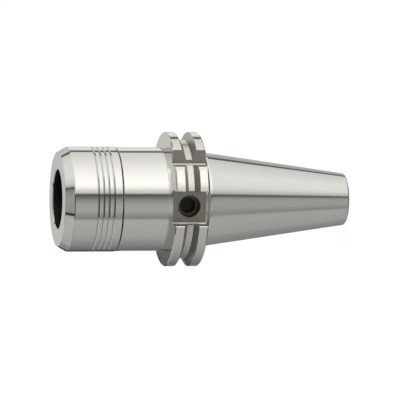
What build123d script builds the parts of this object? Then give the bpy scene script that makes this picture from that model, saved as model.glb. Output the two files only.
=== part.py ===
from build123d import *
from math import cos, degrees, radians, sin, sqrt, tan
import os

# A collet chuck on a 7:24 steep taper, standing on the taper's small end. The axis is Z, the tail
# face lies on z = 0 and the clamping nut points up. Millimetres throughout.

# Taper, measured from its gauge line down to the tail face
taper_gauge_diameter = 44.45
taper_ratio = 7 / 24
taper_length = 68.4
taper_collar = 1.0
taper_relief_depth = 1.0
tail_chamfer = 0.6

# Chuck body in front of the flange, a small step under the nut, with a grinding relief in the corner
body_length = 23.4
body_step = 0.25
body_relief_width = 2.0
body_relief_depth = 0.2
shoulder_chamfer = 0.2

# Flange with its gripper groove, by its height above the body
flange_height = 7.275
flange_setback = 3.2
flange_width = 15.9
flange_chamfer = 0.6
groove_from_gauge = 11.1
groove_width = 7.07
groove_depth = 3.65
groove_angle = 60

# Drive slots across the flange: the rear one's floor lies outside the body's radius, the front one's
# inside it
slot_width = 16.1
rear_slot_step = 0.5
front_slot_inset = 1.7
slot_corner_radius = 0.6
slot_edge_break = 0.5
slot_overcut = 0.1

# Orientation notch beside the front slot, by how far its wall and floor lie inside the body's radius
notch_wall_inset = 5.3
notch_floor_inset = 6.4

# Stepped chip bore in the floor of the deeper drive slot
chip_bore_diameter = 10.2
chip_bore_depth = 4.6
chip_bore_chamfer = 0.3
chip_pit_diameter = 7.4
chip_pit_depth = 3.0

# Drawbar end of the bore
drawbar_drill_diameter = 14.0
drawbar_thread_depth = 36.0
drawbar_pilot_diameter = 17.0
drawbar_pilot_depth = 9.0
drawbar_countersink = 1.0
through_bore_diameter = 10.0

# Collet seat in the nose
seat_diameter = 33.0
seat_half_angle = 8
seat_depth = 36.0
seat_chamfer = 0.5

# Nose thread, drawn as plain walls on each side of its pitch cylinder
nose_wall = 3.5
nose_thread_pitch = 1.5
thread_relief_width = 2.0
thread_relief_depth = 0.6
nose_chamfer = 0.8
thread_clearance = 0.15

# Clamping nut: its wall outside the nose thread, its mouth a step inside the collet seat, and the
# pocket behind its lip a step inside the nose thread
nut_wall = 4.75
nut_length = 27.0
nut_gap = 0.5
nut_chamfer_length = 4.3
nut_chamfer_depth = 2.5
nut_mouth_step = 2.5
nut_mouth_chamfer = 0.4
nut_lip = 3.0
nut_pocket_step = 0.8
nut_rear_chamfer = 0.2
nut_thread_lead = 0.6
grip_groove_first = 15.5
grip_groove_spacing = 2.5
grip_groove_count = 4
grip_groove_width = 1.0
grip_groove_depth = 0.4

# Needle bearing under the nut's lip
roller_diameter = 2.5
roller_length = 2.8
roller_count = 18
roller_setback = 2.2
roller_clearance = 0.05
cage_thickness = 1.6
cage_width = 3.8
cage_clearance = 0.1

# Thrust ring that carries the collet inside the nut, with its off-centre puller lip behind and a
# collar in front that shields the bearing
ring_length = 5.4
ring_clearance = 0.3
ring_front_land = 1.0
ring_collar_wall = 0.6
ring_cone_half_angle = 30
ring_puller_lip = 1.2
ring_puller_grip = 1.0
ring_puller_offset = 0.6

# Retaining ring that holds the bearing and the thrust ring in the nut
circlip_thickness = 1.2
circlip_width = 1.6
circlip_seat_depth = 0.9
circlip_clearance = 0.1
circlip_gap_angle = 40
circlip_lug_radius = 1.15
circlip_lug_hole = 1.2
circlip_to_nose = 0.8

# Hollow stop screw behind the collet seat
stop_thread_diameter = 22.0
stop_thread_pitch = 1.5
stop_bore_depth = 33.0
stop_screw_length = 14.0
stop_screw_setback = 12.9
stop_screw_bore = 8.0
stop_screw_chamfer = 0.8
stop_socket = 12.0
stop_socket_depth = 6.0

# Coolant passages from the flange's rear face, each closed by a grub screw
coolant_setback = 2.5
coolant_thread_diameter = 4.0
coolant_thread_depth = 4.5
coolant_passage_diameter = 3.4
coolant_passage_angle = 45
coolant_plug_length = 3.4
coolant_plug_setback = 0.4
coolant_plug_clearance = 0.15
coolant_socket = 2.0
coolant_socket_depth = 1.6

# Heights that follow from the sizes above
gauge_z = taper_length
flange_rear_z = gauge_z + flange_setback
flange_front_z = flange_rear_z + flange_width
groove_z = gauge_z + groove_from_gauge
shoulder_z = flange_front_z + body_length
nut_rear_z = shoulder_z + nut_gap
nut_front_z = nut_rear_z + nut_length
roller_z = nut_front_z - nut_lip - roller_clearance - roller_diameter / 2
ring_front_z = roller_z - roller_diameter / 2 - roller_clearance
ring_rear_z = ring_front_z - ring_length
collar_front_z = nut_front_z - nut_lip - ring_clearance
circlip_front_z = ring_rear_z - ring_clearance
circlip_rear_z = circlip_front_z - circlip_thickness
nose_z = circlip_rear_z - circlip_to_nose
seat_end_z = nose_z - seat_depth
stop_bore_end_z = seat_end_z - stop_bore_depth
stop_screw_top_z = seat_end_z - stop_screw_setback
stop_screw_bottom_z = stop_screw_top_z - stop_screw_length

# Radii that follow from them. A thread's pitch cylinder is 0.6495 of its pitch under its diameter.
taper_radius = taper_gauge_diameter / 2
tail_radius = taper_radius - taper_length * taper_ratio / 2
seat_radius = seat_diameter / 2
nose_thread_diameter = seat_diameter + 2 * nose_wall
nut_radius = nose_thread_diameter / 2 + nut_wall
body_radius = nut_radius - body_step
flange_radius = body_radius + flange_height
rear_slot_floor = body_radius + rear_slot_step
front_slot_floor = body_radius - front_slot_inset
coolant_radius = body_radius + coolant_setback
mouth_radius = seat_radius - nut_mouth_step
pocket_radius = nose_thread_diameter / 2 - nut_pocket_step
ring_radius = pocket_radius - ring_clearance
roller_circle_radius = pocket_radius - roller_setback
nose_pitch_radius = (nose_thread_diameter - 0.6495 * nose_thread_pitch) / 2
nose_radius = nose_pitch_radius - thread_clearance
nut_thread_radius = nose_pitch_radius + thread_clearance
stop_pitch_radius = (stop_thread_diameter - 0.6495 * stop_thread_pitch) / 2
stop_screw_radius = stop_pitch_radius - thread_clearance
stop_bore_radius = stop_pitch_radius + thread_clearance
seat_end_radius = seat_radius - seat_depth * tan(radians(seat_half_angle))


def rim(part, radius, height):
    """The circular edge of a turned part that has this radius and lies at this height."""
    return part.edges().filter_by(
        lambda edge: edge.geom_type == GeomType.CIRCLE
        and abs(edge.radius - radius) < 0.001
        and abs(edge.center().Z - height) < 0.001
    )


def slot_profile(floor, side):
    """Outline of a drive slot: its floor, walls and flared rim, open towards side * Y."""
    half = slot_width / 2
    flare_y = sqrt(flange_radius**2 - half**2) - slot_edge_break
    flare = flange_radius
    with BuildSketch() as profile:
        with BuildLine():
            Polyline(
                (-half, side * floor),
                (half, side * floor),
                (half, side * flare_y),
                (half + flare, side * (flare_y + flare)),
                (-half - flare, side * (flare_y + flare)),
                (-half, side * flare_y),
                close=True,
            )
        make_face()
        floor_corners = profile.vertices().sort_by_distance((0, side * floor))[:2]
        fillet(floor_corners, slot_corner_radius)
    return profile.sketch


# Holder body: taper, flange, chuck body and threaded nose, turned from one piece
with BuildPart() as holder_body:
    relief_radius = taper_radius - taper_relief_depth
    body_relief_radius = body_radius - body_relief_depth
    body_relief_end_z = flange_front_z + body_relief_width
    nose_relief_radius = nose_radius - thread_relief_depth
    with BuildSketch(Plane.XZ):
        with BuildLine():
            Polyline(
                (0, 0),
                (tail_radius, 0),
                (taper_radius, gauge_z),
                (taper_radius, gauge_z + taper_collar),
                (relief_radius, gauge_z + taper_collar + taper_relief_depth),
                (relief_radius, flange_rear_z),
                (flange_radius, flange_rear_z),
                (flange_radius, flange_front_z),
                (body_relief_radius, flange_front_z),
                (body_relief_radius, body_relief_end_z - body_relief_depth),
                (body_radius, body_relief_end_z),
                (body_radius, shoulder_z),
                (nose_relief_radius, shoulder_z),
                (nose_relief_radius, shoulder_z + thread_relief_width),
                (nose_radius, shoulder_z + thread_relief_width + thread_relief_depth),
                (nose_radius, nose_z),
                (0, nose_z),
                close=True,
            )
        make_face()
    revolve(axis=Axis.Z)
    chamfer(rim(holder_body, tail_radius, 0), tail_chamfer)
    chamfer(rim(holder_body, flange_radius, flange_rear_z), flange_chamfer)
    chamfer(rim(holder_body, flange_radius, flange_front_z), flange_chamfer)
    chamfer(rim(holder_body, body_radius, shoulder_z), shoulder_chamfer)
    chamfer(rim(holder_body, nose_radius, nose_z), nose_chamfer)

    # Gripper groove round the flange
    with BuildSketch(Plane.XZ):
        flank = tan(radians(groove_angle / 2))
        half_top = groove_width / 2
        half_floor = half_top - groove_depth * flank
        with BuildLine():
            Polyline(
                (flange_radius - groove_depth, groove_z - half_floor),
                (flange_radius + groove_depth, groove_z - half_top - groove_depth * flank),
                (flange_radius + groove_depth, groove_z + half_top + groove_depth * flank),
                (flange_radius - groove_depth, groove_z + half_floor),
                close=True,
            )
        make_face()
    revolve(axis=Axis.Z, mode=Mode.SUBTRACT)

    # Bore from the drawbar thread to the collet seat
    with BuildSketch(Plane.XZ):
        with BuildLine():
            Polyline(
                (0, 0),
                (drawbar_pilot_diameter / 2 + drawbar_countersink, 0),
                (drawbar_pilot_diameter / 2, drawbar_countersink),
                (drawbar_pilot_diameter / 2, drawbar_pilot_depth),
                (drawbar_drill_diameter / 2, drawbar_pilot_depth),
                (drawbar_drill_diameter / 2, drawbar_thread_depth),
                (through_bore_diameter / 2, drawbar_thread_depth),
                (through_bore_diameter / 2, stop_bore_end_z),
                (stop_bore_radius, stop_bore_end_z),
                (stop_bore_radius, seat_end_z),
                (seat_end_radius, seat_end_z),
                (seat_radius, nose_z),
                (0, nose_z),
                close=True,
            )
        make_face()
    revolve(axis=Axis.Z, mode=Mode.SUBTRACT)
    chamfer(rim(holder_body, seat_radius, nose_z), seat_chamfer)

    # Drive slots, milled up to the flange's front face
    with BuildSketch(Plane.XY.offset(flange_rear_z)):
        add(slot_profile(front_slot_floor, -1))
    extrude(amount=flange_width + slot_overcut, mode=Mode.SUBTRACT)
    with BuildSketch(Plane.XY.offset(flange_rear_z)):
        add(slot_profile(rear_slot_floor, 1))
    extrude(amount=flange_width + slot_overcut, mode=Mode.SUBTRACT)

    # Orientation notch, with its floor parallel to the deeper slot's and its wall towards that slot
    with BuildSketch(Plane.XY.offset(flange_rear_z)) as notch:
        notch_wall = body_radius - notch_wall_inset
        notch_floor = body_radius - notch_floor_inset
        notch_flare_y = sqrt(flange_radius**2 - notch_wall**2) - slot_edge_break
        with BuildLine():
            Polyline(
                (notch_wall, -notch_floor),
                (notch_wall, -notch_flare_y),
                (notch_wall - flange_radius, -notch_flare_y - flange_radius),
                (2 * flange_radius, -notch_flare_y - flange_radius),
                (2 * flange_radius, -notch_floor),
                close=True,
            )
        make_face()
        inner_corner = notch.vertices().sort_by_distance((notch_wall, -notch_floor))[0]
        fillet(inner_corner, slot_corner_radius)
    extrude(amount=flange_width + slot_overcut, mode=Mode.SUBTRACT)

    # Chip bore, stepped, in the middle of the deeper slot's floor
    slot_floor_plane = Plane((0, -front_slot_floor, groove_z), x_dir=(1, 0, 0), z_dir=(0, -1, 0))
    with BuildSketch(slot_floor_plane):
        Circle(chip_bore_diameter / 2 + chip_bore_chamfer)
    extrude(amount=-chip_bore_chamfer, taper=45, mode=Mode.SUBTRACT)
    with BuildSketch(slot_floor_plane):
        Circle(chip_bore_diameter / 2)
    extrude(amount=-chip_bore_depth, mode=Mode.SUBTRACT)
    with BuildSketch(slot_floor_plane):
        Circle(chip_pit_diameter / 2)
    extrude(amount=-chip_bore_depth - chip_pit_depth, mode=Mode.SUBTRACT)

    # Coolant passages, tapped at the flange's rear face and drilled slanting to the stop screw's bore
    for side in (-1, 1):
        coolant_x = side * coolant_radius
        with BuildSketch(Plane.XY.offset(flange_rear_z)):
            with Locations((coolant_x, 0)):
                Circle(coolant_thread_diameter / 2)
        extrude(amount=coolant_thread_depth, mode=Mode.SUBTRACT)
        slant = radians(coolant_passage_angle)
        passage_plane = Plane(
            (coolant_x, 0, flange_rear_z + coolant_thread_depth - coolant_passage_diameter / 2),
            x_dir=(0, 1, 0),
            z_dir=(-side * sin(slant), 0, cos(slant)),
        )
        passage_reach = (coolant_radius - stop_bore_radius / 2) / sin(slant)
        with BuildSketch(passage_plane):
            Circle(coolant_passage_diameter / 2)
        extrude(amount=passage_reach, mode=Mode.SUBTRACT)

# Clamping nut, smooth outside but for its grip grooves, with a one-piece lip round the mouth
with BuildPart() as clamping_nut:
    thread_end_z = circlip_rear_z - circlip_to_nose / 2
    thread_step = nut_thread_radius - pocket_radius
    with BuildSketch(Plane.XZ):
        with BuildLine():
            Polyline(
                (mouth_radius, nut_front_z),
                (nut_radius - nut_chamfer_depth, nut_front_z),
                (nut_radius, nut_front_z - nut_chamfer_length),
                (nut_radius, nut_rear_z),
                (nut_thread_radius, nut_rear_z),
                (nut_thread_radius, thread_end_z - thread_step),
                (pocket_radius, thread_end_z),
                (pocket_radius, nut_front_z - nut_lip),
                (mouth_radius, nut_front_z - nut_lip),
                close=True,
            )
        make_face()
    revolve(axis=Axis.Z)
    chamfer(rim(clamping_nut, mouth_radius, nut_front_z), nut_mouth_chamfer)
    chamfer(rim(clamping_nut, nut_radius, nut_rear_z), nut_rear_chamfer)
    chamfer(rim(clamping_nut, nut_thread_radius, nut_rear_z), nut_thread_lead)

    # Grip grooves, each a shallow V
    with BuildSketch(Plane.XZ):
        for number in range(grip_groove_count):
            middle_z = nut_front_z - grip_groove_first - number * grip_groove_spacing
            with BuildLine():
                Polyline(
                    (nut_radius - grip_groove_depth, middle_z),
                    (nut_radius + grip_groove_depth, middle_z - grip_groove_width),
                    (nut_radius + grip_groove_depth, middle_z + grip_groove_width),
                    close=True,
                )
            make_face()
    revolve(axis=Axis.Z, mode=Mode.SUBTRACT)

    # Seat of the retaining ring
    with BuildSketch(Plane.XY.offset(circlip_front_z + circlip_clearance)):
        Circle(pocket_radius + circlip_seat_depth + circlip_clearance)
        Circle(pocket_radius - circlip_clearance, mode=Mode.SUBTRACT)
    extrude(amount=-circlip_thickness - 2 * circlip_clearance, mode=Mode.SUBTRACT)

# Thrust ring: a cone for the collet's face and the off-centre puller lip behind it
with BuildPart() as thrust_ring:
    ring_bore = mouth_radius + nut_mouth_chamfer / 2
    lip_z = ring_rear_z + ring_puller_lip
    cone_front_z = ring_front_z - ring_front_land
    cone_rear_radius = ring_bore + (cone_front_z - lip_z) * tan(radians(ring_cone_half_angle))
    with BuildSketch(Plane.XY.offset(ring_rear_z)):
        Circle(ring_radius)
    extrude(amount=ring_length)
    with BuildSketch(Plane.XY.offset(ring_front_z)):
        Circle(ring_bore + ring_collar_wall)
    extrude(amount=collar_front_z - ring_front_z)
    with BuildSketch(Plane.XZ):
        with BuildLine():
            Polyline(
                (0, collar_front_z),
                (ring_bore, collar_front_z),
                (ring_bore, cone_front_z),
                (cone_rear_radius, lip_z),
                (0, lip_z),
                close=True,
            )
        make_face()
    revolve(axis=Axis.Z, mode=Mode.SUBTRACT)
    with BuildSketch(Plane.XY.offset(lip_z)):
        with Locations((ring_puller_offset, 0)):
            Circle(seat_radius - ring_puller_grip)
    extrude(amount=-ring_puller_lip, mode=Mode.SUBTRACT)

# Roller cage: a flat ring with a window for each roller
with BuildPart() as roller_cage:
    with BuildSketch(Plane.XY.offset(roller_z - cage_thickness / 2)):
        Circle(roller_circle_radius + cage_width / 2)
        Circle(roller_circle_radius - cage_width / 2, mode=Mode.SUBTRACT)
        with PolarLocations(roller_circle_radius, roller_count):
            Rectangle(
                roller_length + 2 * cage_clearance,
                roller_diameter + 2 * cage_clearance,
                mode=Mode.SUBTRACT,
            )
    extrude(amount=cage_thickness)

# Retaining ring: an open ring sprung into the nut's groove, with two lugs for the pliers
with BuildPart() as retaining_ring:
    circlip_outer = pocket_radius + circlip_seat_depth
    circlip_inner = circlip_outer - circlip_width
    lug_circle = pocket_radius - circlip_clearance - circlip_lug_radius
    gap_slope = tan(radians(circlip_gap_angle / 2))
    lug_angle = circlip_gap_angle / 2 + degrees(circlip_lug_radius / lug_circle)
    with BuildSketch(Plane.XY.offset(circlip_rear_z)):
        Circle(circlip_outer)
        Circle(circlip_inner, mode=Mode.SUBTRACT)
        with BuildLine():
            Polyline(
                (0, 0),
                (circlip_outer, circlip_outer * gap_slope),
                (circlip_outer, -circlip_outer * gap_slope),
                close=True,
            )
        make_face(mode=Mode.SUBTRACT)
        with PolarLocations(lug_circle, 2, start_angle=-lug_angle, angular_range=4 * lug_angle):
            Circle(circlip_lug_radius)
            Circle(circlip_lug_hole / 2, mode=Mode.SUBTRACT)
    extrude(amount=circlip_thickness)

# Stop screw: a hollow screw with a hexagon socket that sets how deep a tool sits
with BuildPart() as stop_screw:
    with BuildSketch(Plane.XY.offset(stop_screw_bottom_z)):
        Circle(stop_screw_radius)
        Circle(stop_screw_bore / 2, mode=Mode.SUBTRACT)
    extrude(amount=stop_screw_length)
    chamfer(rim(stop_screw, stop_screw_radius, stop_screw_top_z), stop_screw_chamfer)
    chamfer(rim(stop_screw, stop_screw_radius, stop_screw_bottom_z), stop_screw_chamfer)
    with BuildSketch(Plane.XY.offset(stop_screw_top_z)):
        RegularPolygon(stop_socket / 2, 6, major_radius=False)
    extrude(amount=-stop_socket_depth, mode=Mode.SUBTRACT)

pieces = {
    "holder_body": holder_body,
    "clamping_nut": clamping_nut,
    "thrust_ring": thrust_ring,
    "roller_cage": roller_cage,
    "retaining_ring": retaining_ring,
    "stop_screw": stop_screw,
}

# Coolant plugs: grub screws in the passages' mouths, just under the flange's rear face
for number, side in enumerate((-1, 1), start=1):
    plug_mouth_z = flange_rear_z + coolant_plug_setback
    with BuildPart() as coolant_plug:
        with BuildSketch(Plane.XY.offset(plug_mouth_z)):
            with Locations((side * coolant_radius, 0)):
                Circle(coolant_thread_diameter / 2 - coolant_plug_clearance)
        extrude(amount=coolant_plug_length)
        with BuildSketch(Plane.XY.offset(plug_mouth_z)):
            with Locations((side * coolant_radius, 0)):
                RegularPolygon(coolant_socket / 2, 6, major_radius=False)
        extrude(amount=coolant_socket_depth, mode=Mode.SUBTRACT)
    pieces[f"coolant_plug_{number}"] = coolant_plug

# Needle rollers, each lying along a radius
for number in range(roller_count):
    turn = 360 * number / roller_count
    roller_plane = Plane(
        (
            (roller_circle_radius - roller_length / 2) * cos(radians(turn)),
            (roller_circle_radius - roller_length / 2) * sin(radians(turn)),
            roller_z,
        ),
        x_dir=(0, 0, 1),
        z_dir=(cos(radians(turn)), sin(radians(turn)), 0),
    )
    with BuildPart() as roller:
        with BuildSketch(roller_plane):
            Circle(roller_diameter / 2)
        extrude(amount=roller_length)
    pieces[f"roller_{number + 1:02d}"] = roller

os.makedirs("parts", exist_ok=True)
for label, piece in pieces.items():
    piece.part.label = label
    export_step(piece.part, f"parts/{label}.step")
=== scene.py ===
from math import cos, pi, radians, sin, tan

import bmesh
import bpy
from mathutils import Matrix, Vector


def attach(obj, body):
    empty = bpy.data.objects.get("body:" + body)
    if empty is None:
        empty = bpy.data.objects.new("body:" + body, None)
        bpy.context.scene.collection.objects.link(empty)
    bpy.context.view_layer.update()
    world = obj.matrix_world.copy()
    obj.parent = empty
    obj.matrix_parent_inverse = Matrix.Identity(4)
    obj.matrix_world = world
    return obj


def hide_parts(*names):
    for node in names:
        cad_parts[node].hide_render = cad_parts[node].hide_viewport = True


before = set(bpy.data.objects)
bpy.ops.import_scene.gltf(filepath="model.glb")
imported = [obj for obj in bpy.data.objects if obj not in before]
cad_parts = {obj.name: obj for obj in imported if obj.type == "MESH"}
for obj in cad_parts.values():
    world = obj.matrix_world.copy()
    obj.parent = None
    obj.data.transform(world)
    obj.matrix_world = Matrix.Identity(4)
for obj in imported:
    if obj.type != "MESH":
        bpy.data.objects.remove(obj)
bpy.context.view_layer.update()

# Sizes in millimetres, as the solids have them. Heights run up from the taper's small end, and the
# width of a round piece is its radius.

# Taper and the undercut above it
TAIL_FACE = 11.65
TAIL_CHAMFER = 0.6
TAPER_TAIL = 12.34
TAPER_BIG = 22.225
TAPER_TOP = 68.4
COLLAR = 1.0
UNDERCUT = 1.0

# Flange with its gripper groove
FLANGE_REAR = 71.6
FLANGE_FRONT = 87.5
FLANGE_RIM = 31.775
FLANGE_CHAMFER = 0.6
GROOVE_HEIGHT = 79.5
GROOVE_HALF = 3.535
GROOVE_DEPTH = 3.65

# Drive slots, notch, stepped chip bore and coolant passages' mouths
SLOT_HALF = 8.05
SLOT_CORNER = 0.6
SLOT_FLARE = 0.5
FRONT_FLOOR = 22.8
REAR_FLOOR = 25.0
NOTCH_WALL = 19.2
NOTCH_FLOOR = 18.1
CHIP_BORE = 5.1
CHIP_CHAMFER = 0.3
CHIP_STEP = 4.6
CHIP_PIT = 3.7
CHIP_FLOOR = 7.6
COOLANT_REACH = 27.0
COOLANT_MOUTH = 2.0
COOLANT_FLOOR = 76.1

# Body and nose. The solid's nose is plain, near the thread's pitch line. Here the thread is a ridge from
# its root to its crest, and the nose is turned down to carry it.
BODY = 24.5
BODY_RELIEF = 0.2
RELIEF_WIDTH = 2.0
SHOULDER = 110.9
SHOULDER_CHAMFER = 0.2
THREAD_RELIEF = 18.7
THREAD_RELIEF_WIDTH = 2.0
THREAD_RUNOUT = 0.6
NOSE = 18.9
NOSE_END = 125.1
NOSE_CHAMFER = 0.8
THREAD_PITCH = 1.5
THREAD_ROOT = 18.8
THREAD_CREST = 19.58
RIDGE_FOOT_HALF = 0.7
RIDGE_CREST_HALF = 0.1

# Bore, from the nose to the tail
SEAT_MOUTH = 17.0
SEAT_BIG = 16.43
SEAT_SMALL = 11.44
SEAT_CHAMFER = 0.5
SEAT_FLOOR = 89.1
STOP_BORE = 10.66
STOP_FLOOR = 56.1
PASSAGE = 5.0
DRAWBAR_DRILL = 7.0
DRAWBAR_DEPTH = 36.0
DRAWBAR_PILOT = 8.5
PILOT_DEPTH = 9.0
COUNTERSINK = 1.0

# Clamping nut
NUT = 24.75
NUT_REAR = 111.4
NUT_FRONT = 138.4
NUT_MOUTH = 14.0
MOUTH_CHAMFER = 0.4
NUT_LIP = 3.0
NUT_CHAMFER = 2.5
NUT_REAR_CHAMFER = 0.2
RING_GROOVES = 4
RING_GROOVE_FIRST = 15.5
RING_GROOVE_SPACING = 2.5
RING_GROOVE_HALF = 0.5
RING_GROOVE_DEPTH = 0.4
NUT_THREAD = 19.66
NUT_THREAD_LEAD = 0.6
NUT_THREAD_TOP = 125.04
NUT_POCKET = 19.2
POCKET_FLOOR = 125.5
SNAP_GROOVE = 20.2
SNAP_GROOVE_LOW = 125.8
SNAP_GROOVE_HIGH = 127.2

# Facet that breaks the corner behind the nut's front chamfer: how deep it cuts into the nut's wall, and
# how far behind the nut's face it starts and ends
FACET_CUT = 0.09
FACET_START = 4.14
FACET_END = 4.48

# Fineness of the turned shapes, and the break that sharp turned edges get
TURN_STEPS = 288
HOLE_STEPS = 96
EDGE_BREAK = 0.12


def linear(code):
    """Linear colour of an sRGB hex code."""
    channels = [int(code[i:i + 2], 16) / 255 for i in (1, 3, 5)]
    return (*(c / 12.92 if c <= 0.04045 else ((c + 0.055) / 1.055) ** 2.4 for c in channels), 1.0)


def add_node(tree, kind, links=(), **settings):
    """Adds a node with its settings; links gives (input, value or output socket) pairs."""
    node = tree.nodes.new(kind)
    for name, value in settings.items():
        setattr(node, name, value)
    for name, value in links:
        if isinstance(value, bpy.types.NodeSocket):
            tree.links.new(value, node.inputs[name])
        else:
            node.inputs[name].default_value = value
    return node


# Camera: the photograph's, with the chuck's axis lying level and its nose turned a little to the viewer.
# It stands this many degrees round the axis and this many towards the nose. The picture's middle lies
# this high on the axis and this far below it, in metres.
CAMERA_ROUND = 9
CAMERA_TO_NOSE = 11.7
CAMERA_DISTANCE = 2.0
LENS = 380.2
PICTURE_MIDDLE = 0.06985
AXIS_RISE = 0.00043
azimuth, elevation = radians(CAMERA_ROUND), radians(CAMERA_TO_NOSE)
towards = Vector((sin(azimuth) * cos(elevation), -cos(azimuth) * cos(elevation), sin(elevation)))
image_up = Vector((cos(azimuth), sin(azimuth), 0))
image_right = image_up.cross(towards)
target = Vector((0, 0, PICTURE_MIDDLE)) - image_up * AXIS_RISE
camera_data = bpy.data.cameras.new("camera")
camera_data.lens = LENS
camera_data.sensor_width = 36
camera_data.clip_end = 20
camera = bpy.data.objects.new("camera", camera_data)
rotation = Matrix((image_right, image_up, towards)).transposed()
camera.matrix_world = Matrix.Translation(target + towards * CAMERA_DISTANCE) @ rotation.to_4x4()
bpy.context.scene.collection.objects.link(camera)
bpy.context.scene.camera = camera
bpy.context.scene.view_settings.view_transform = "Standard"

# Studio: white for the camera, and for the steel nine rings of panels round the chuck's axis, one above
# the other. Each stop is (degrees from the camera's side towards the picture's top, level), and a level
# of 1 is white paper in full light. Seen from the camera, the undercut's slope mirrors LOW_RING, the
# taper TAPER_RING, the body, the nut and the flange's lands SIDE_RING, the faces that look to the nose
# FACE_RING, the facet behind the nut's chamfer EDGE_RING, the chamfer itself CHAMFER_RING, and the nut's
# ring grooves, on their two flanks, TOP_RING and UNDER.
UNDER = [
    (-180, 0.10),
    (-60, 0.12),
    (60, 0.12),
    (180, 0.10),
]
LOW_RING = [
    (-180, 0.10),
    (-95, 0.12),
    (-80, 0.95),
    (38, 0.95),
    (50, 0.12),
    (180, 0.10),
]
TAPER_RING = [
    (-180, 0.28),
    (-145, 0.32),
    (-118, 0.42),
    (-100, 0.53),
    (-60, 0.59),
    (-47, 0.57),
    (-42, 0.38),
    (-33, 0.43),
    (-26, 0.52),
    (-8, 0.54),
    (2, 0.48),
    (8, 0.15),
    (12, 0.15),
    (14, 0.68),
    (20, 0.86),
    (29, 1.10),
    (38, 1.19),
    (64, 1.23),
    (100, 1.04),
    (121.5, 0.92),
    (123.5, 0.10),
    (130.5, 0.10),
    (134, 0.60),
    (155, 0.58),
    (180, 0.40),
]
SIDE_RING = [
    (-180, 0.45),
    (-150, 0.19),
    (-118, 0.39),
    (-95, 0.54),
    (-80, 0.60),
    (-48, 0.64),
    (-43, 0.34),
    (-31, 0.50),
    (-27, 0.59),
    (-14, 0.57),
    (-3, 0.42),
    (8, 0.12),
    (11, 0.13),
    (12.5, 0.90),
    (19, 1.10),
    (24, 1.45),
    (31, 1.70),
    (50, 1.63),
    (85, 1.28),
    (110, 1.08),
    (125, 1.04),
    (127, 0.10),
    (133, 0.10),
    (136, 0.95),
    (148, 1.15),
    (165, 0.75),
    (180, 0.45),
]
FACE_RING = [
    (-180, 0.66),
    (-166, 0.66),
    (-156, 0.35),
    (-120, 0.38),
    (-60, 0.45),
    (-45, 0.36),
    (0, 0.36),
    (12, 0.90),
    (25, 1.45),
    (80, 1.45),
    (120, 1.00),
    (125, 0.95),
    (127, 0.12),
    (133, 0.12),
    (136, 0.95),
    (150, 0.70),
    (166, 0.66),
    (180, 0.66),
]
EDGE_RING = [
    (-180, 1.10),
    (-165, 1.00),
    (-150, 0.40),
    (-135, 0.55),
    (-90, 0.70),
    (-60, 0.70),
    (-48, 0.64),
    (-45, 0.02),
    (10, 0.02),
    (13, 0.90),
    (60, 1.12),
    (100, 1.12),
    (125, 0.95),
    (127, 0.10),
    (133, 0.10),
    (136, 0.90),
    (148, 0.70),
    (160, 1.00),
    (180, 1.10),
]
CHAMFER_RING = [
    (-180, 0.25),
    (-150, 0.30),
    (-135, 0.55),
    (-90, 0.70),
    (-60, 0.70),
    (-48, 0.66),
    (-47, 0.0),
    (-40.5, 0.0),
    (-39.5, 0.42),
    (-30, 0.46),
    (0, 0.50),
    (15, 0.45),
    (26, 0.32),
    (30, 0.10),
    (33, 0.10),
    (35.5, 0.78),
    (45, 0.98),
    (60, 1.18),
    (100, 1.18),
    (120, 1.00),
    (132, 0.72),
    (140, 0.30),
    (180, 0.25),
]
TOP_RING = [
    (-180, 0.05),
    (-97, 0.05),
    (-82, 0.55),
    (-70, 0.50),
    (-60, 0.10),
    (20, 0.10),
    (35, 0.30),
    (75, 0.36),
    (100, 0.72),
    (180, 0.80),
]
CROWN = [
    (-180, 0.50),
    (180, 0.50),
]
# Ramps hold levels up to 1, so they are drawn this much dimmer and the world is this much stronger
PANEL_SCALE = 2.5
# The panels' paper is a little warm
PANEL_TINT = (1.0, 0.988, 0.965)


def panel_ring(tree, turn, panels):
    """A ramp round the chuck whose stops are the panels' edges."""
    ramp = add_node(tree, "ShaderNodeValToRGB", [("Fac", turn)])
    stops = ramp.color_ramp.elements
    while len(stops) < len(panels):
        stops.new(0.5)
    for stop, (angle, level) in zip(stops, panels):
        stop.position = (angle + 180) / 360
        stop.color = (*(level / PANEL_SCALE * tint for tint in PANEL_TINT), 1)
    return ramp.outputs["Color"]


world = bpy.data.worlds.new("studio")
bpy.context.scene.world = world
world.use_nodes = True
sky = world.node_tree
sky.nodes.clear()
direction = add_node(sky, "ShaderNodeTexCoord").outputs["Generated"]
turned_direction = add_node(
    sky,
    "ShaderNodeVectorRotate",
    [("Vector", direction), ("Angle", radians(90) - azimuth)],
    rotation_type="Z_AXIS",
)
parts = add_node(sky, "ShaderNodeSeparateXYZ", [("Vector", turned_direction.outputs[0])])
around = add_node(
    sky,
    "ShaderNodeMath",
    [(0, parts.outputs["Y"]), (1, parts.outputs["X"])],
    operation="ARCTAN2",
)
turn = add_node(
    sky,
    "ShaderNodeMapRange",
    [("Value", around.outputs[0]), ("From Min", -pi), ("From Max", pi)],
).outputs[0]
studio_light = panel_ring(sky, turn, UNDER)
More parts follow.
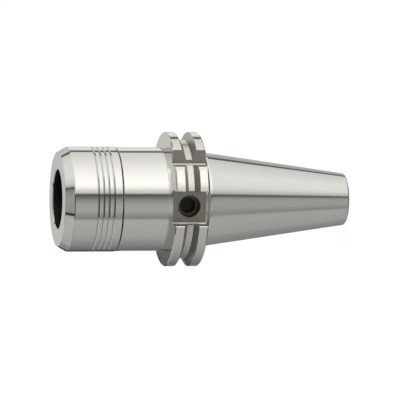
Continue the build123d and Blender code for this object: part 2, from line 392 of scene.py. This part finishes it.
# The next ring takes over between these two heights of the direction, from -1 below to 1 above
for ring, start, end in [
    (LOW_RING, -0.99, -0.98),
    (TAPER_RING, -0.82, -0.75),
    (SIDE_RING, -0.28, -0.23),
    (FACE_RING, -0.04, 0.05),
    (EDGE_RING, 0.23, 0.29),
    (CHAMFER_RING, 0.60, 0.68),
    (TOP_RING, 0.80, 0.86),
    (CROWN, 0.93, 0.96),
]:
    share = add_node(
        sky,
        "ShaderNodeMapRange",
        [("Value", parts.outputs["Z"]), ("From Min", start), ("From Max", end)],
        interpolation_type="SMOOTHSTEP",
    )
    studio_light = add_node(
        sky,
        "ShaderNodeMix",
        [("Factor", share.outputs[0]), ("A", studio_light), ("B", panel_ring(sky, turn, ring))],
        data_type="RGBA",
    ).outputs["Result"]
panels = add_node(sky, "ShaderNodeBackground", [("Color", studio_light), ("Strength", PANEL_SCALE)])
backdrop = add_node(sky, "ShaderNodeBackground", [("Color", (1, 1, 1, 1)), ("Strength", 1.0)])
seen = add_node(sky, "ShaderNodeLightPath").outputs["Is Camera Ray"]
chosen = add_node(
    sky, "ShaderNodeMixShader", [("Fac", seen), (1, panels.outputs[0]), (2, backdrop.outputs[0])]
)
add_node(sky, "ShaderNodeOutputWorld", [("Surface", chosen.outputs[0])])


# Materials
def material(name):
    """A new material and its node tree, cleared."""
    made = bpy.data.materials.new(name)
    made.use_nodes = True
    made.node_tree.nodes.clear()
    return made, made.node_tree


def turning_lines(tree, per_mm):
    """Noise that runs in rings round the axis, on cylinders, cones and faces alike, so many to the
    millimetre."""
    place = add_node(tree, "ShaderNodeTexCoord").outputs["Object"]
    split = add_node(tree, "ShaderNodeSeparateXYZ", [("Vector", place)])
    flat = add_node(tree, "ShaderNodeCombineXYZ", [("X", split.outputs["X"]), ("Y", split.outputs["Y"])])
    reach = add_node(tree, "ShaderNodeVectorMath", [(0, flat.outputs[0])], operation="LENGTH")
    along = add_node(
        tree,
        "ShaderNodeMath",
        [(0, reach.outputs["Value"]), (1, split.outputs["Z"])],
        operation="ADD",
    )
    scaled = add_node(
        tree, "ShaderNodeMath", [(0, along.outputs[0]), (1, per_mm * 1000)], operation="MULTIPLY"
    )
    noise = add_node(
        tree,
        "ShaderNodeTexNoise",
        [("W", scaled.outputs[0]), ("Scale", 1.0), ("Detail", 4.0), ("Roughness", 0.65)],
        noise_dimensions="1D",
    )
    return noise.outputs["Fac"]


def ring_steel(name, code, roughness, spread, height, per_mm):
    """Steel with rings left by a turning tool or a grinding wheel, their height in millimetres. The
    rings are up to 7% darker than the steel."""
    made, tree = material(name)
    lines = turning_lines(tree, per_mm)
    rough = add_node(
        tree,
        "ShaderNodeMapRange",
        [
            ("Value", lines),
            ("From Min", 0.3),
            ("From Max", 0.7),
            ("To Min", roughness - spread),
            ("To Max", roughness + spread),
        ],
    )
    bump = add_node(
        tree, "ShaderNodeBump", [("Height", lines), ("Strength", 1.0), ("Distance", height / 1000)]
    )
    bright = linear(code)
    dim = (*(c * 0.93 for c in bright[:3]), 1.0)
    tone = add_node(
        tree, "ShaderNodeMix", [("Factor", lines), ("A", dim), ("B", bright)], data_type="RGBA"
    )
    steel = add_node(
        tree,
        "ShaderNodeBsdfPrincipled",
        [
            ("Base Color", tone.outputs["Result"]),
            ("Metallic", 1.0),
            ("Roughness", rough.outputs[0]),
            ("Normal", bump.outputs[0]),
        ],
    )
    add_node(tree, "ShaderNodeOutputMaterial", [("Surface", steel.outputs[0])])
    return made


def speckled_steel(name, code, dark_code, roughness, grain):
    """Steel with a matt grain and no direction, its grain in millimetres."""
    made, tree = material(name)
    place = add_node(tree, "ShaderNodeTexCoord").outputs["Object"]
    noise = add_node(
        tree,
        "ShaderNodeTexNoise",
        [("Vector", place), ("Scale", 1000 / grain), ("Detail", 5.0), ("Roughness", 0.6)],
    )
    tone = add_node(
        tree,
        "ShaderNodeMix",
        [("Factor", noise.outputs["Fac"]), ("A", linear(dark_code)), ("B", linear(code))],
        data_type="RGBA",
    )
    bump = add_node(
        tree,
        "ShaderNodeBump",
        [("Height", noise.outputs["Fac"]), ("Strength", 0.4), ("Distance", 0.00002)],
    )
    steel = add_node(
        tree,
        "ShaderNodeBsdfPrincipled",
        [
            ("Base Color", tone.outputs["Result"]),
            ("Metallic", 1.0),
            ("Roughness", roughness),
            ("Normal", bump.outputs[0]),
        ],
    )
    add_node(tree, "ShaderNodeOutputMaterial", [("Surface", steel.outputs[0])])
    return made


# Real grinding lines stand some 20 to the millimetre and a milled or oxide grain is some 0.05 mm, too
# fine to show here, so both are drawn coarser.

# Case-hardened steel, cylindrically ground: mirror-like round the part, with the faintest rings
ground = ring_steel("ground_steel", "#CFCECB", 0.10, 0.02, 0.0004, 4)
# The same steel as turned before hardening, left on the flange's faces and in its groove: greyer, softer
turned = ring_steel("turned_steel", "#C9C7C3", 0.24, 0.05, 0.0012, 3)
# Milled before hardening and not ground since: a dark grey, matt skin in the slots
milled = speckled_steel("milled_hardened_steel", "#A39F98", "#8C8882", 0.40, 0.35)
# The notch: the same milled skin, drawn a little lighter than in the slots as painted light, for the
# notch's floor lying less in shade
milled_painted_lighter = speckled_steel("milled_steel_painted_lighter", "#B4AFA7", "#9B968F", 0.38, 0.35)
# The gripper groove's flanks, turned by the side of a form tool: torn a little, so darker than the faces
flank = ring_steel("form_turned_steel", "#A8A59E", 0.30, 0.05, 0.0015, 3)
# The chip bore's walls: a darker grey than the milled skin, painted shade for the depth of the bore
bore_wall_painted_shade = speckled_steel("bore_wall_steel_painted_shade", "#6E6A63", "#5C5852", 0.45, 0.3)
# Oiled black oxide on the screws, plugs and rings: nearly black. The same near-black on the walls of the
# bores and inside the nut is painted shade.
black = speckled_steel("black_oxide_and_painted_shade_steel", "#45423B", "#33312B", 0.5, 0.5)
# Hardened and polished bearing steel of the needles
polished = ring_steel("polished_bearing_steel", "#D2D2D2", 0.08, 0.01, 0.0001, 6)

# The holder's finishes in the order of its material slots, and the nut's
holder_finishes = [ground, turned, milled, black, flank, bore_wall_painted_shade, milled_painted_lighter]
GROUND, TURNED, MILLED, BLACK, FLANK, BORE_WALL_SHADE, MILLED_PAINTED_LIGHTER = range(7)
nut_finishes = [ground, black]
NUT_OUTSIDE, NUT_INSIDE = range(2)


# Shapes
def spun(profile, steps=TURN_STEPS, breaks=()):
    """A solid turned from a closed profile of (radius, height) points; breaks lists the corners that get
    the common edge break."""
    mesh = bmesh.new()
    corners = [mesh.verts.new((radius, 0, height)) for radius, height in profile]
    for start, end in zip(corners, corners[1:] + corners[:1]):
        on_axis = start.co.x == 0 and end.co.x == 0
        if not on_axis:
            mesh.edges.new((start, end))
    bmesh.ops.bevel(
        mesh,
        geom=[corners[index] for index in breaks],
        offset=EDGE_BREAK,
        offset_type="OFFSET",
        segments=2,
        profile=0.5,
        affect="VERTICES",
        material=-1,
    )
    bmesh.ops.spin(
        mesh,
        geom=mesh.verts[:] + mesh.edges[:],
        cent=(0, 0, 0),
        axis=(0, 0, 1),
        angle=2 * pi,
        steps=steps,
        use_merge=True,
    )
    bmesh.ops.remove_doubles(mesh, verts=mesh.verts, dist=0.0005)
    bmesh.ops.recalc_face_normals(mesh, faces=mesh.faces)
    return mesh


def to_object(mesh, name, materials):
    """Ends a mesh made in millimetres as an object in metres."""
    bmesh.ops.scale(mesh, vec=(0.001, 0.001, 0.001), verts=mesh.verts)
    data = bpy.data.meshes.new(name)
    mesh.to_mesh(data)
    mesh.free()
    for each in materials:
        data.materials.append(each)
    piece = bpy.data.objects.new(name, data)
    bpy.context.scene.collection.objects.link(piece)
    return piece


def cut(piece, cutters):
    """Cuts the cutters out of the piece and removes them."""
    for cutter in cutters:
        boolean = piece.modifiers.new("cut", "BOOLEAN")
        boolean.operation = "DIFFERENCE"
        boolean.solver = "EXACT"
        boolean.object = cutter
    bpy.context.view_layer.update()
    evaluated = piece.evaluated_get(bpy.context.evaluated_depsgraph_get())
    data = bpy.data.meshes.new_from_object(evaluated)
    piece.modifiers.clear()
    piece.data = data
    for cutter in cutters:
        bpy.data.objects.remove(cutter)


def shade(piece):
    """Smooth faces, with sharp edges wherever two faces meet at more than 5 degrees."""
    mesh = bmesh.new()
    mesh.from_mesh(piece.data)
    bmesh.ops.remove_doubles(mesh, verts=mesh.verts, dist=1e-7)
    for face in mesh.faces:
        face.smooth = True
    for edge in mesh.edges:
        edge.smooth = len(edge.link_faces) == 2 and edge.calc_face_angle(0) < radians(5)
    mesh.to_mesh(piece.data)
    mesh.free()


def milled_cutter(outline, rounded, finish):
    """A cutter through the whole flange with this outline, seen along the axis; rounded lists the
    corners that the milling cutter leaves round."""
    # A little below the flange's rear face, to a little above its front face
    bottom, height = FLANGE_REAR - 0.2, FLANGE_FRONT - FLANGE_REAR + 0.3
    mesh = bmesh.new()
    face = mesh.faces.new([mesh.verts.new((x, y, bottom)) for x, y in outline])
    raised = bmesh.ops.extrude_face_region(mesh, geom=[face])
    top = [item for item in raised["geom"] if isinstance(item, bmesh.types.BMVert)]
    bmesh.ops.translate(mesh, vec=(0, 0, height), verts=top)
    bmesh.ops.recalc_face_normals(mesh, faces=mesh.faces)
    spots = [Vector(outline[index]) for index in rounded]
    long_edges = [
        edge
        for edge in mesh.edges
        if abs(edge.verts[0].co.z - edge.verts[1].co.z) > 1
        and any((edge.verts[0].co.xy - spot).length < 0.01 for spot in spots)
    ]
    bmesh.ops.bevel(
        mesh,
        geom=long_edges,
        offset=SLOT_CORNER,
        offset_type="OFFSET",
        segments=20,
        profile=0.5,
        affect="EDGES",
        material=-1,
    )
    for face in mesh.faces:
        slanted = min(abs(face.normal.x), abs(face.normal.y)) > 0.05
        face.material_index = GROUND if slanted else finish
    return to_object(mesh, "cutter", [])


# Holder body
groove_flank = tan(radians(30)) * GROOVE_DEPTH
groove_low, groove_high = GROOVE_HEIGHT - GROOVE_HALF, GROOVE_HEIGHT + GROOVE_HALF
holder_profile = [
    (DRAWBAR_PILOT + COUNTERSINK, 0),
    (TAIL_FACE, 0),
    (TAPER_TAIL, TAIL_CHAMFER),
    (TAPER_BIG, TAPER_TOP),
    (TAPER_BIG, TAPER_TOP + COLLAR),
    (TAPER_BIG - UNDERCUT, TAPER_TOP + COLLAR + UNDERCUT),
    (TAPER_BIG - UNDERCUT, FLANGE_REAR),
    (FLANGE_RIM - FLANGE_CHAMFER, FLANGE_REAR),
    (FLANGE_RIM, FLANGE_REAR + FLANGE_CHAMFER),
    (FLANGE_RIM, groove_low),
    (FLANGE_RIM - GROOVE_DEPTH, groove_low + groove_flank),
    (FLANGE_RIM - GROOVE_DEPTH, groove_high - groove_flank),
    (FLANGE_RIM, groove_high),
    (FLANGE_RIM, FLANGE_FRONT - FLANGE_CHAMFER),
    (FLANGE_RIM - FLANGE_CHAMFER, FLANGE_FRONT),
    (BODY - BODY_RELIEF, FLANGE_FRONT),
    (BODY - BODY_RELIEF, FLANGE_FRONT + RELIEF_WIDTH - BODY_RELIEF),
    (BODY, FLANGE_FRONT + RELIEF_WIDTH),
    (BODY, SHOULDER - SHOULDER_CHAMFER),
    (BODY - SHOULDER_CHAMFER, SHOULDER),
    (THREAD_RELIEF, SHOULDER),
    (THREAD_RELIEF, SHOULDER + THREAD_RELIEF_WIDTH),
    (NOSE, SHOULDER + THREAD_RELIEF_WIDTH + THREAD_RUNOUT),
    (NOSE, NOSE_END - NOSE_CHAMFER),
    (NOSE - NOSE_CHAMFER, NOSE_END),
    (SEAT_MOUTH, NOSE_END),
    (SEAT_BIG, NOSE_END - SEAT_CHAMFER),
    (SEAT_SMALL, SEAT_FLOOR),
    (STOP_BORE, SEAT_FLOOR),
    (STOP_BORE, STOP_FLOOR),
    (PASSAGE, STOP_FLOOR),
    (PASSAGE, DRAWBAR_DEPTH),
    (DRAWBAR_DRILL, DRAWBAR_DEPTH),
    (DRAWBAR_DRILL, PILOT_DEPTH),
    (DRAWBAR_PILOT, PILOT_DEPTH),
    (DRAWBAR_PILOT, COUNTERSINK),
]
holder_mesh = spun(holder_profile, breaks=(2, 4, 7, 8, 9, 12, 13, 14))
for face in holder_mesh.faces:
    middle = face.calc_center_median()
    reach = middle.xy.length
    steepness = abs(face.normal.z)
    faces_axis = face.normal.xy.dot(middle.xy) < 0.1
    between_ends = COUNTERSINK - 0.1 < middle.z < NOSE_END - 0.4
    on_flange = FLANGE_REAR - 0.5 < middle.z < FLANGE_FRONT + 0.01 and reach > BODY + 0.1
    between_lands = abs(middle.z - GROOVE_HEIGHT) < GROOVE_HALF - 0.2
    in_groove = between_lands and reach > FLANGE_RIM - GROOVE_DEPTH - 0.1
    on_nose = SHOULDER - 0.1 < middle.z < NOSE_END
    in_undercut = TAPER_TOP + COLLAR < middle.z < FLANGE_REAR
    # The bore's walls get the near-black: painted shade, for the dark deep in the bore
    if faces_axis and between_ends and reach < SEAT_MOUTH + 1:
        face.material_index = BLACK
    elif in_groove and steepness > 0.5:
        face.material_index = FLANK
    elif on_flange and (in_groove or steepness > 0.99):
        face.material_index = TURNED
    elif on_nose or in_undercut:
        face.material_index = TURNED
holder = to_object(holder_mesh, "holder_turned", holder_finishes)

# Slots, notch, chip bore and coolant mouths. The outlines of slots and notch widen just inside the rim,
# which breaks the edges there, and then run on past it.
PAST_RIM = 20
slot_edge = (FLANGE_RIM**2 - SLOT_HALF**2) ** 0.5 - SLOT_FLARE
notch_edge = (FLANGE_RIM**2 - NOTCH_WALL**2) ** 0.5 - SLOT_FLARE


def slot_outline(floor, side):
    """A drive slot's outline, on the side of the axis that side's sign gives."""
    return [
        (-SLOT_HALF, side * floor),
        (SLOT_HALF, side * floor),
        (SLOT_HALF, side * slot_edge),
        (SLOT_HALF + PAST_RIM, side * (slot_edge + PAST_RIM)),
        (-SLOT_HALF - PAST_RIM, side * (slot_edge + PAST_RIM)),
        (-SLOT_HALF, side * slot_edge),
    ]


notch_outline = [
    (NOTCH_WALL, -NOTCH_FLOOR),
    (NOTCH_WALL, -notch_edge),
    (NOTCH_WALL - PAST_RIM, -notch_edge - PAST_RIM),
    (3 * PAST_RIM, -notch_edge - PAST_RIM),
    (3 * PAST_RIM, -NOTCH_FLOOR),
]
# The chip bore is turned about the axis, and then laid over to point into the front slot's floor
ABOVE_FLOOR = 1.0
chip_profile = [
    (0, ABOVE_FLOOR),
    (CHIP_BORE + CHIP_CHAMFER + ABOVE_FLOOR, ABOVE_FLOOR),
    (CHIP_BORE, -CHIP_CHAMFER),
    (CHIP_BORE, -CHIP_STEP),
    (CHIP_PIT, -CHIP_STEP),
    (CHIP_PIT, -CHIP_FLOOR),
    (0, -CHIP_FLOOR),
]
chip_mesh = spun(chip_profile, steps=HOLE_STEPS)
laid_over = Matrix.Rotation(radians(90), 3, "X")
bmesh.ops.rotate(chip_mesh, cent=(0, 0, 0), matrix=laid_over, verts=chip_mesh.verts)
bmesh.ops.translate(chip_mesh, vec=(0, -FRONT_FLOOR, GROOVE_HEIGHT), verts=chip_mesh.verts)
# The chip bore's walls get the darker grey and its pit the near-black: painted shade in the bore
for face in chip_mesh.faces:
    depth = face.calc_center_median().y + FRONT_FLOOR
    if depth < 0.2:
        face.material_index = MILLED
    elif depth < CHIP_STEP + 0.05:
        face.material_index = BORE_WALL_SHADE
    else:
        face.material_index = BLACK
coolant_start = FLANGE_REAR - 0.6
coolant_profile = [
    (0, coolant_start),
    (COOLANT_MOUTH, coolant_start),
    (COOLANT_MOUTH, COOLANT_FLOOR),
    (0, COOLANT_FLOOR),
]
coolant_cutters = []
for side in (-1, 1):
    hole = spun(coolant_profile, steps=HOLE_STEPS)
    bmesh.ops.translate(hole, vec=(side * COOLANT_REACH, 0, 0), verts=hole.verts)
    # The coolant mouths' walls get the near-black: painted shade in the holes
    for face in hole.faces:
        face.material_index = BLACK
    coolant_cutters.append(to_object(hole, "cutter", []))
cut(
    holder,
    [
        milled_cutter(slot_outline(FRONT_FLOOR, -1), (0, 1), MILLED),
        milled_cutter(slot_outline(REAR_FLOOR, 1), (0, 1), MILLED),
        # The notch's floor and walls get the milled skin painted lighter: painted light
        milled_cutter(notch_outline, (0,), MILLED_PAINTED_LIGHTER),
        to_object(chip_mesh, "cutter", []),
    ]
    + coolant_cutters,
)
shade(holder)
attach(holder, "holder")
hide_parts("holder_body")

# Nose thread: one V ridge wound up the nose from just above the thread relief
THREAD_START = SHOULDER + 3.2
thread_turns, thread_steps = 7, 120
ridge_profile = [
    (THREAD_ROOT, -RIDGE_FOOT_HALF),
    (THREAD_CREST, -RIDGE_CREST_HALF),
    (THREAD_CREST, RIDGE_CREST_HALF),
    (THREAD_ROOT, RIDGE_FOOT_HALF),
]
thread_mesh = bmesh.new()
ridge = [thread_mesh.verts.new((radius, 0, THREAD_START + height)) for radius, height in ridge_profile]
for start, end in zip(ridge, ridge[1:]):
    thread_mesh.edges.new((start, end))
bmesh.ops.spin(
    thread_mesh,
    geom=thread_mesh.verts[:] + thread_mesh.edges[:],
    cent=(0, 0, 0),
    axis=(0, 0, 1),
    dvec=(0, 0, THREAD_PITCH / thread_steps),
    angle=2 * pi * thread_turns,
    steps=thread_turns * thread_steps,
)
bmesh.ops.holes_fill(thread_mesh, edges=thread_mesh.edges, sides=4)
bmesh.ops.recalc_face_normals(thread_mesh, faces=thread_mesh.faces)
thread = to_object(thread_mesh, "nose_thread", [turned])
shade(thread)
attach(thread, "holder")

# Clamping nut
nut_profile = [
    (NUT_MOUTH, NUT_FRONT - MOUTH_CHAMFER),
    (NUT_MOUTH + MOUTH_CHAMFER, NUT_FRONT),
    (NUT - NUT_CHAMFER, NUT_FRONT),
    (NUT - FACET_CUT, NUT_FRONT - FACET_START),
    (NUT, NUT_FRONT - FACET_END),
]
for number in range(RING_GROOVES):
    middle = NUT_FRONT - RING_GROOVE_FIRST - RING_GROOVE_SPACING * number
    nut_profile += [
        (NUT, middle + RING_GROOVE_HALF),
        (NUT - RING_GROOVE_DEPTH, middle),
        (NUT, middle - RING_GROOVE_HALF),
    ]
nut_profile += [
    (NUT, NUT_REAR + NUT_REAR_CHAMFER),
    (NUT - NUT_REAR_CHAMFER, NUT_REAR),
    (NUT_THREAD + NUT_THREAD_LEAD, NUT_REAR),
    (NUT_THREAD, NUT_REAR + NUT_THREAD_LEAD),
    (NUT_THREAD, NUT_THREAD_TOP),
    (NUT_POCKET, POCKET_FLOOR),
    (NUT_POCKET, SNAP_GROOVE_LOW),
    (SNAP_GROOVE, SNAP_GROOVE_LOW),
    (SNAP_GROOVE, SNAP_GROOVE_HIGH),
    (NUT_POCKET, SNAP_GROOVE_HIGH),
    (NUT_POCKET, NUT_FRONT - NUT_LIP),
    (NUT_MOUTH, NUT_FRONT - NUT_LIP),
]
nut_mesh = spun(nut_profile, breaks=(2,))
# Inside the nut the near-black is painted shade, for the dark behind the mouth
for face in nut_mesh.faces:
    middle = face.calc_center_median()
    inside = middle.xy.length < SNAP_GROOVE + 0.4 and middle.z < NUT_FRONT - MOUTH_CHAMFER - 0.01
    face.material_index = NUT_INSIDE if inside else NUT_OUTSIDE
nut = to_object(nut_mesh, "nut_turned", nut_finishes)
shade(nut)
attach(nut, "nut")
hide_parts("clamping_nut")

# Finishes of the nodes that stay as they are
finishes = {
    "thrust_ring": black,
    "roller_cage": turned,
    "retaining_ring": black,
    "stop_screw": black,
    "coolant_plug_1": black,
    "coolant_plug_2": black,
}
for name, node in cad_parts.items():
    if name not in ("holder_body", "clamping_nut"):
        finish = finishes.get(name, polished)
        for place in node.material_slots:
            place.material = finish

# Floor: white paper that keeps a faint shadow; the steel sees the studio's panels in its place. For the
# camera, this share of it glows by itself, which carries it to full white.
FLOOR_GLOW = 0.75
floor_mesh = bmesh.new()
bmesh.ops.create_circle(floor_mesh, cap_ends=True, segments=64, radius=6)
floor_data = bpy.data.meshes.new("floor")
floor_mesh.to_mesh(floor_data)
floor_mesh.free()
paper, paper_tree = material("white_paper")
bare = add_node(paper_tree, "ShaderNodeBsdfDiffuse", [("Color", linear("#F2F2F2"))])
lit = add_node(paper_tree, "ShaderNodeEmission", [("Color", (1, 1, 1, 1)), ("Strength", 1.2)])
seen_floor = add_node(paper_tree, "ShaderNodeLightPath").outputs["Is Camera Ray"]
glow = add_node(paper_tree, "ShaderNodeMath", [(0, seen_floor), (1, FLOOR_GLOW)], operation="MULTIPLY")
mixed = add_node(
    paper_tree,
    "ShaderNodeMixShader",
    [("Fac", glow.outputs[0]), (1, bare.outputs[0]), (2, lit.outputs[0])],
)
add_node(paper_tree, "ShaderNodeOutputMaterial", [("Surface", mixed.outputs[0])])
floor_data.materials.append(paper)
floor = bpy.data.objects.new("floor", floor_data)
floor.visible_glossy = False
bpy.context.scene.collection.objects.link(floor)

# Grey card behind the chuck, low in the picture, that the flange's front face mirrors: its distance
# behind the axis, its two sides by their place across the picture, and its two heights, in metres
CARD_BEHIND = 0.12
CARD_SIDES = (-0.09, -0.0225)
CARD_HEIGHTS = (0.085, 0.145)
card_mesh = bmesh.new()
away = Vector((-sin(azimuth), cos(azimuth), 0)) * CARD_BEHIND
card_edge = [
    card_mesh.verts.new(away + image_up * across + Vector((0, 0, CARD_HEIGHTS[0])))
    for across in CARD_SIDES
]
raised = bmesh.ops.extrude_edge_only(card_mesh, edges=[card_mesh.edges.new(card_edge)])
card_top = [item for item in raised["geom"] if isinstance(item, bmesh.types.BMVert)]
bmesh.ops.translate(card_mesh, vec=(0, 0, CARD_HEIGHTS[1] - CARD_HEIGHTS[0]), verts=card_top)
card_data = bpy.data.meshes.new("grey_card")
card_mesh.to_mesh(card_data)
card_mesh.free()
grey_paper, grey_tree = material("grey_paper")
dim_light = add_node(grey_tree, "ShaderNodeEmission", [("Color", linear("#505050")), ("Strength", 1.0)])
add_node(grey_tree, "ShaderNodeOutputMaterial", [("Surface", dim_light.outputs[0])])
card_data.materials.append(grey_paper)
card = bpy.data.objects.new("grey_card", card_data)
card.visible_camera = False
card.visible_diffuse = False
card.visible_shadow = False
bpy.context.scene.collection.objects.link(card)
